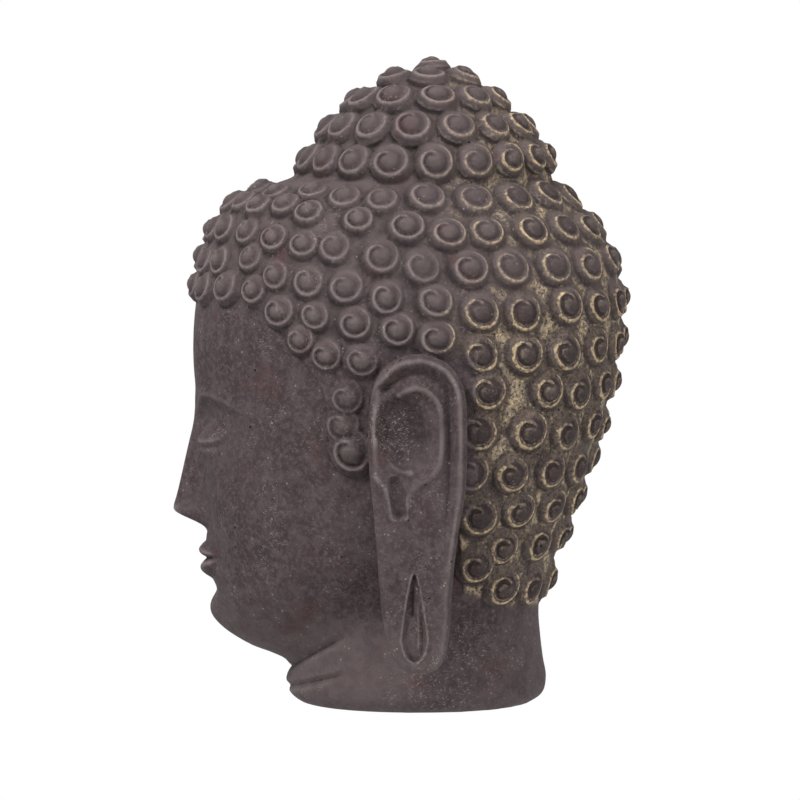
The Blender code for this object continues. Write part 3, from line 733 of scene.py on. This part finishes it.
def weather(mesh, curls):
    """Where the fused skin is hollow, deep or proud, and where hair grows and dust has settled."""
    points = mesh_points(mesh) / PART
    normals = mesh_normals(mesh)
    edges = mesh_edges(mesh)
    fine = ((smoothed(points, edges, 3) - points) * normals).sum(1)
    broad = ((smoothed(points, edges, 24) - points) * normals).sum(1)
    x, y, z = points.T
    behind = smoothstep(4, 48, y) * (1 - smoothstep(215, 272, z)) * smoothstep(48, 62, z)
    crown = 0.22 * smoothstep(-10, 50, y) * smoothstep(262, 300, z)
    rear = 0.35 * smoothstep(20, 90, y) * smoothstep(190, 230, z)
    on_ear = (np.abs(x) > 94) & (y < 38) & (z < 222)
    hair = smoothstep(-3, 5, z - np.interp(y, HAIRLINE_Y, HAIRLINE_Z)) * (1 - on_ear)
    shares, below = curl_shares(points, curls)
    # The curls' lower-left flanks get the most painted shadow.
    shaded = 0.25 + 0.75 * smoothstep(-0.2, 0.7, below)
    lobe_scuff = bell(np.hypot(y - 25, z - 27), 22)
    bowl_scuff = 0.7 * bell(np.hypot(y + 13, z - 174), 13)
    layers = {
        "button": hair * (1 - smoothstep(0.46, 0.62, shares)),
        "shaded_flank": hair * smoothstep(0.78, 0.92, shares) * (1 - smoothstep(1.05, 1.25, shares)) * shaded,
        "bed": hair * smoothstep(0.98, 1.12, shares),
        "hollow": 0.5 + fine / 0.30,
        "proud": -fine / 0.20,
        "deep": np.clip(broad / 2.0, 0, 1),
        "swell": np.clip(-broad / 1.2, 0, 1),
        "settled": np.clip(behind + crown + rear, 0, 1) * hair,
        "bowl": on_ear * (1 - smoothstep(0.55, 1.1, np.hypot((y + 6) / 18, (z - 173.5) / 26.5))),
        "paler_low_front": (1 - smoothstep(40, 70, z)) * (1 - 0.6 * smoothstep(-30, 20, y)),
        "scuffed": np.maximum(lobe_scuff, bowl_scuff),
        "hair": hair,
    }
    return points, layers


def curl_shares(points, curls):
    """How far out on its nearest curl each point lies, in radii, and how much on the lower front."""
    shares = np.full(len(points), 9.0)
    below = np.zeros(len(points))
    for centre, normal, radius in zip(*curls):
        off = points - centre
        near = np.flatnonzero((off**2).sum(1) < (1.8 * radius) ** 2)
        flat = off[near] - (off[near] @ normal)[:, None] * normal
        away = np.linalg.norm(flat, axis=1) / radius
        closer = away < shares[near]
        shares[near[closer]] = away[closer]
        sideways = -(flat[:, 1] + flat[:, 2]) / (math.sqrt(2) * radius * np.maximum(away, 0.01))
        below[near[closer]] = sideways[closer]
    return shares, below


def add_layers(mesh, places, layers):
    """Gives each point of the thinned skin the numbers of the nearest place of the full one."""
    tree = KDTree(len(places))
    for number, place in enumerate(places.tolist()):
        tree.insert(place, number)
    tree.balance()
    found = np.array([tree.find(point)[1] for point in (mesh_points(mesh) / PART).tolist()])
    for name, values in layers.items():
        layer = mesh.attributes.new(name, "FLOAT", "POINT")
        layer.data.foreach_set("value", values[found].astype(np.float32))


def make_head():
    """The finely carved head, one skin that takes the solid's place."""
    random = np.random.default_rng(SEED)
    ear = ear_grid()
    curls = curl_places()
    grids = [curl_grid(*place, random) for place in zip(*curls)]
    head = joined([head_grid(), ear, mirrored(ear), *grids], "carved_head")
    bpy.context.scene.collection.objects.link(head)
    fused(head)
    places, layers = weather(head.data, curls)
    thinned(head, FINE_TRIANGLES)
    cut_foot(head.data)
    add_layers(head.data, places, layers)
    head.data.shade_smooth()
    head.data.materials.append(weathered_stone())
    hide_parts("buddha_head")
    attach(head, "root")
    return head


class Nodes:
    """Short calls for building a material's node tree."""

    def __init__(self, material):
        self.tree = material.node_tree
        self.place = self.new("ShaderNodeTexCoord").outputs["Object"]

    def new(self, kind, **settings):
        """Adds a node and sets its properties."""
        node = self.tree.nodes.new(kind)
        for name, value in settings.items():
            setattr(node, name, value)
        return node

    def feed(self, socket, value):
        """Links an output to a socket, or sets the socket's value."""
        if isinstance(value, bpy.types.NodeSocket):
            self.tree.links.new(value, socket)
        else:
            socket.default_value = value

    def math(self, operation, first, second=0.0, clamp=False):
        """One step of arithmetic."""
        node = self.new("ShaderNodeMath", operation=operation, use_clamp=clamp)
        self.feed(node.inputs[0], first)
        self.feed(node.inputs[1], second)
        return node.outputs[0]

    def times(self, first, second, clamp=False):
        """The product of two numbers."""
        return self.math("MULTIPLY", first, second, clamp)

    def larger(self, first, second):
        """The larger of two numbers."""
        return self.math("MAXIMUM", first, second)

    def ramp(self, value, low, high, start=0.0, end=1.0):
        """Maps low..high to start..end smoothly, clamped."""
        node = self.new("ShaderNodeMapRange", interpolation_type="SMOOTHSTEP")
        self.feed(node.inputs["Value"], value)
        self.feed(node.inputs["From Min"], low)
        self.feed(node.inputs["From Max"], high)
        self.feed(node.inputs["To Min"], start)
        self.feed(node.inputs["To Max"], end)
        return node.outputs["Result"]

    def noise(self, size, detail=3.0, rough=0.55, shift=0.0):
        """Noise whose blotches are about size metres across."""
        moved = self.new("ShaderNodeVectorMath", operation="ADD")
        self.feed(moved.inputs[0], self.place)
        moved.inputs[1].default_value = (shift, shift * 0.7, -shift)
        node = self.new("ShaderNodeTexNoise")
        self.feed(node.inputs["Vector"], moved.outputs[0])
        node.inputs["Scale"].default_value = 1.0 / size
        node.inputs["Detail"].default_value = detail
        node.inputs["Roughness"].default_value = rough
        return node.outputs["Fac"]

    def cells(self, size):
        """Distance from the middle of random cells about size metres apart."""
        node = self.new("ShaderNodeTexVoronoi")
        self.feed(node.inputs["Vector"], self.place)
        node.inputs["Scale"].default_value = 1.0 / size
        return node.outputs["Distance"]

    def strokes(self, size, stretch, turn):
        """Short thin strokes across random cells, stretched one way and turned."""
        moved = self.new("ShaderNodeMapping", vector_type="TEXTURE")
        self.feed(moved.inputs["Vector"], self.place)
        moved.inputs["Rotation"].default_value = turn
        moved.inputs["Scale"].default_value = (1.0, 1.0 / stretch, 1.0)
        node = self.new("ShaderNodeTexVoronoi")
        self.feed(node.inputs["Vector"], moved.outputs["Vector"])
        node.inputs["Scale"].default_value = 1.0 / size
        return node.outputs["Distance"]

    def layer(self, name):
        """A number stored on the mesh."""
        return self.new("ShaderNodeAttribute", attribute_name=name).outputs["Fac"]

    def mix(self, share, first, second):
        """Colour between the first and the second."""
        node = self.new("ShaderNodeMix", data_type="RGBA")
        self.feed(node.inputs["Factor"], share)
        self.feed(node.inputs["A"], first)
        self.feed(node.inputs["B"], second)
        return node.outputs["Result"]


def weathered_stone():
    """Dull purple-brown stone with grime, painted shade in its hollows and on the curls' shadowed
    flanks, worn edges, settled dust, specks and pinholes.
    """
    material = bpy.data.materials.new("weathered_stone")
    material.use_nodes = True
    shader = material.node_tree.nodes["Principled BSDF"]
    make = Nodes(material)
    hollow = make.layer("hollow")
    deep = make.layer("deep")
    proud = make.layer("proud")
    hair = make.layer("hair")
    settled = make.layer("settled")
    swell = make.layer("swell")
    button = make.layer("button")
    shaded_flank = make.layer("shaded_flank")
    bed = make.layer("bed")
    paler_low_front = make.layer("paler_low_front")
    scuffed = make.layer("scuffed")
    bowl = make.layer("bowl")

    # Stone, its mottling, the lighter and darker parts of the hair, and painted shadow on the curls'
    # lower-left flanks.
    blotch = make.noise(BLOTCH_SIZE, 4.0, 0.6)
    mottle = make.noise(MOTTLE_SIZE, 4.0, 0.65, 0.3)
    grain = make.noise(GRAIN_SIZE, 3.0, 0.7, 0.7)
    colour = make.mix(make.ramp(blotch, 0.25, 0.75), STONE_DARK, STONE_LIGHT)
    dirt = make.noise(DIRT_SIZE, 5.0, 0.8, 6.1)
    colour = make.mix(make.ramp(mottle, 0.44, 0.66, 0.0, 0.50), colour, STONE_GREY)
    colour = make.mix(make.ramp(dirt, 0.44, 0.70, 0.0, 1.0), colour, STONE_GREY)
    # Greyer towards the foot, most at the front.
    colour = make.mix(make.times(paler_low_front, make.ramp(mottle, 0.35, 0.65, 0.45, 0.95)), colour, STONE_GREY)
    clean = make.ramp(settled, 0.1, 0.9, 1.0, 0.2)
    paler = make.times(hair, make.times(clean, make.ramp(mottle, 0.25, 0.65, 0.5, 1.0)))
    colour = make.mix(paler, colour, STONE_HAIR)
    # Painted shadow on the curls' outer flanks, darkest on their lower-left side.
    colour = make.mix(make.times(shaded_flank, make.ramp(mottle, 0.25, 0.70, 0.85, 0.55)), colour, STONE_GRIME_AND_SHADE)
    colour = make.mix(make.times(button, make.ramp(settled, 0.1, 0.9, 0.35, 0.95)), colour, STONE_BARE)
    russet = make.ramp(make.noise(RUSSET_SIZE, 3.0, 0.6, 1.3), 0.58, 0.72, 0.0, 0.55)
    colour = make.mix(russet, colour, STONE_RUSSET)

    # Painted shade in the fine hollows, the broad recesses and the ear's bowl, dark pits in the dusty
    # hair, and wear on what stands proud.
    hollow_shade = make.times(make.ramp(hollow, 0.65, 1.25), make.ramp(mottle, 0.3, 0.6, 0.4, 0.8))
    colour = make.mix(hollow_shade, colour, STONE_GRIME_AND_SHADE)
    pits = make.ramp(make.noise(PIT_SIZE, 5.0, 0.85, 7.7), 0.52, 0.62, 0.0, 0.75)
    colour = make.mix(make.times(pits, make.times(bed, settled)), colour, STONE_GRIME_AND_SHADE)
    # Painted shade in the broad recesses and in the ear's bowl.
    colour = make.mix(make.ramp(deep, 0.05, 0.8, 0.0, 0.75), colour, STONE_GRIME_AND_SHADE)
    colour = make.mix(make.times(bowl, make.ramp(mottle, 0.3, 0.7, 0.42, 0.18)), colour, STONE_GRIME_AND_SHADE)
    colour = make.mix(make.ramp(swell, 0.10, 0.9, 0.0, 0.35), colour, STONE_WORN)
    worn = make.times(make.ramp(proud, 0.15, 1.0, 0.0, 1.0), make.ramp(grain, 0.35, 0.7, 0.4, 1.0))
    worn = make.times(worn, make.ramp(hair, 0.0, 1.0, 0.32, 0.62))
    worn = make.times(worn, make.ramp(button, 0.2, 0.9, 1.0, 0.35))
    colour = make.mix(worn, colour, STONE_WORN)

    # Dust in the hair, cracked and crumbly.
    patch = make.ramp(make.noise(PATCH_SIZE, 4.0, 0.65, 2.1), 0.24, 0.46)
    crumb = make.ramp(make.noise(CRUMB_SIZE, 5.0, 0.85, 2.9), 0.40, 0.51)
    shelter = make.larger(make.times(bed, 0.85), make.ramp(proud, 0.15, 0.85))
    shelter = make.larger(shelter, make.ramp(hollow, 0.80, 1.2, 0.10, 0.5))
    dust = make.times(make.times(settled, shelter), make.times(patch, crumb))
    dust = make.times(dust, make.ramp(button, 0.1, 0.7, 2.3, 0.4))
    dust = make.times(dust, make.ramp(shaded_flank, 0.3, 0.9, 1.0, 0.30), clamp=True)
    fleck = make.ramp(make.noise(FLECK_SIZE, 5.0, 0.85, 8.3), 0.46, 0.60)
    fleck = make.larger(fleck, make.ramp(proud, 0.2, 0.8))
    colour = make.mix(dust, colour, make.mix(fleck, DUST_GREY, DUST))
    crack = make.ramp(make.noise(CRACK_SIZE, 4.0, 0.85, 9.4), 0.54, 0.60, 0.0, 0.60)
    colour = make.mix(make.times(crack, settled), colour, STONE_GRIME_AND_SHADE)

    # Scratches, most where the stone was scuffed.
    scratch = 0.0
    for size, stretch, turn in SCRATCHES:
        scratch = make.larger(scratch, make.ramp(make.strokes(size, stretch, turn), 0.28, 0.10))
    rough = make.math("ADD", make.noise(SCUFF_SIZE, 5.0, 0.75, 5.2), make.times(scuffed, 0.28))
    rough = make.times(make.ramp(rough, 0.50, 0.68), make.ramp(grain, 0.40, 0.60))
    colour = make.mix(make.times(make.times(scratch, rough), 0.75), colour, STONE_SPECK)

    # Pale specks and dark casting pinholes.
    speck = make.ramp(make.cells(SPECK_SPACING), 0.20, 0.05)
    speck = make.times(speck, make.ramp(mottle, 0.50, 0.62))
    colour = make.mix(make.times(speck, 0.45), colour, STONE_SPECK)
    hole = make.ramp(make.cells(HOLE_SPACING), 0.085, 0.045)
    few = make.ramp(make.noise(HOLE_PATCH_SIZE, 2.0, 0.5, 4.4), 0.55, 0.60)
    hole = make.times(hole, few)
    colour = make.mix(hole, colour, STONE_HOLE)

    # Dull surface with the finest relief.
    make.feed(shader.inputs["Base Color"], colour)
    make.feed(shader.inputs["Roughness"], make.ramp(grain, 0.3, 0.7, 0.72, 0.92))
    shader.inputs["Specular IOR Level"].default_value = 0.20
    relief = make.times(grain, 0.5)
    relief = make.math("ADD", relief, make.times(mottle, 1.2))
    relief = make.math("ADD", relief, make.times(dirt, make.ramp(hair, 0.0, 1.0, 0.9, 2.0)))
    relief = make.math("ADD", relief, make.times(crumb, make.times(dust, 0.9)))
    relief = make.math("SUBTRACT", relief, make.times(hole, 2.5))
    bump = make.new("ShaderNodeBump")
    bump.inputs["Strength"].default_value = 1.0
    bump.inputs["Distance"].default_value = RELIEF_HEIGHT
    make.feed(bump.inputs["Height"], relief)
    make.feed(shader.inputs["Normal"], bump.outputs["Normal"])
    return material


def make_studio():
    """A white table and a white card behind it, bright enough to show no shadow."""
    white = bpy.data.materials.new("white_card")
    white.use_nodes = True
    shader = white.node_tree.nodes["Principled BSDF"]
    shader.inputs["Base Color"].default_value = (0.0, 0.0, 0.0, 1.0)
    shader.inputs["Specular IOR Level"].default_value = 0.0
    shader.inputs["Emission Color"].default_value = (1.0, 1.0, 1.0, 1.0)
    shader.inputs["Emission Strength"].default_value = CARD_GLOW
    away = CARD_AWAY
    side = CARD_REACH
    low = TABLE_LEVEL
    table = [(-away, -side, low), (away, -side, low), (away, side, low), (-away, side, low)]
    card = [(-away, -side, low), (-away, side, low), (-away, side, side), (-away, -side, side)]
    for name, corners in (("white_table", table), ("back_card", card)):
        mesh = bpy.data.meshes.new(name)
        mesh.from_pydata(corners, [], [(0, 1, 2, 3)])
        mesh.materials.append(white)
        piece = bpy.data.objects.new(name, mesh)
        bpy.context.scene.collection.objects.link(piece)


def make_light(name, place, size, power):
    """A square soft light aimed at the middle of the head."""
    lamp = bpy.data.lights.new(name, "AREA")
    lamp.shape = "SQUARE"
    lamp.size = size
    lamp.energy = power
    light = bpy.data.objects.new(name, lamp)
    light.location = place
    aim = Vector(AIM) - Vector(place)
    light.rotation_euler = aim.to_track_quat("-Z", "Y").to_euler()
    bpy.context.scene.collection.objects.link(light)


def make_world():
    """An even soft surround."""
    world = bpy.data.worlds.new("studio")
    world.use_nodes = True
    sky = world.node_tree.nodes["Background"]
    sky.inputs["Color"].default_value = (1.0, 1.0, 1.0, 1.0)
    sky.inputs["Strength"].default_value = WORLD_STRENGTH
    bpy.context.scene.world = world


def make_camera():
    """The photograph's viewpoint, a little above level, through a long lens."""
    turn = math.radians(CAMERA_AZIMUTH)
    tilt = math.radians(CAMERA_ELEVATION)
    aim = Vector(AIM)
    back = Vector((math.sin(turn) * math.cos(tilt), -math.cos(turn) * math.cos(tilt), math.sin(tilt)))
    lens = bpy.data.cameras.new("camera")
    lens.lens = CAMERA_LENS
    lens.sensor_width = 36.0
    lens.clip_end = 50.0
    camera = bpy.data.objects.new("camera", lens)
    camera.location = aim + back * CAMERA_DISTANCE
    camera.rotation_euler = (-back).to_track_quat("-Z", "Y").to_euler()
    bpy.context.scene.collection.objects.link(camera)
    bpy.context.scene.camera = camera


def main():
    bpy.context.scene.view_settings.view_transform = "Standard"
    make_head()
    make_studio()
    make_world()
    make_light("key", KEY_PLACE, KEY_SIZE, KEY_POWER)
    make_light("top", TOP_PLACE, TOP_SIZE, TOP_POWER)
    make_light("fill", FILL_PLACE, FILL_SIZE, FILL_POWER)
    make_camera()


main()
